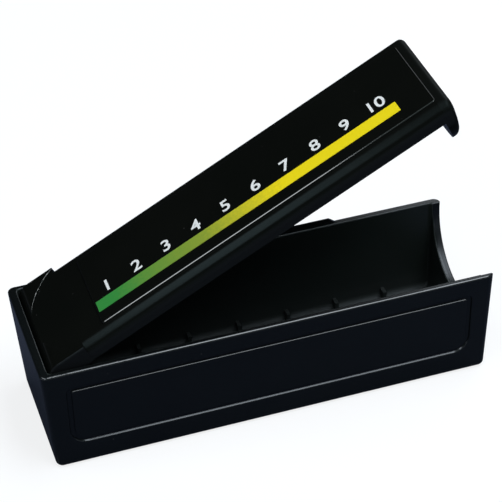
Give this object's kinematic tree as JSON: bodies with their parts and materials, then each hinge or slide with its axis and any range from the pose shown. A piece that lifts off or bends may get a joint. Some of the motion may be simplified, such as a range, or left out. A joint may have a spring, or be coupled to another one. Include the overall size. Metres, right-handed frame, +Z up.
{
  "type": "harmonica case",
  "caption": "Slim moulded harmonica case: a ribbed open tray with a scooped end and a long flip-up lid hinged at the other end, half open, with a colour-graded stripe.",
  "frame": {"origin": "centre of the tray's underside, on the surface it stands on", "axes": "+X along the case from the hinge end to the scooped free end, +Y to the rear long side, +Z up"},
  "size_m": [0.1192, 0.0382, 0.0844],
  "materials": {
    "tray_plastic": "gloss",
    "lid_plastic": "gloss",
    "stripe_ink": "gloss",
    "number_ink": "gloss"
  },
  "bodies": {
    "base": {"base_tray": "tray_plastic"},
    "lid": {"lid": "lid_plastic", "colour_stripe": "stripe_ink"}
  },
  "joints": [
    {"name": "lid_hinge", "type": "hinge", "parent": "base", "child": "lid", "pos_m": [-0.0526, 0, 0.0287], "axis": [0, -1, 0], "range_deg": [-27.63, 62.37]}
  ]
}
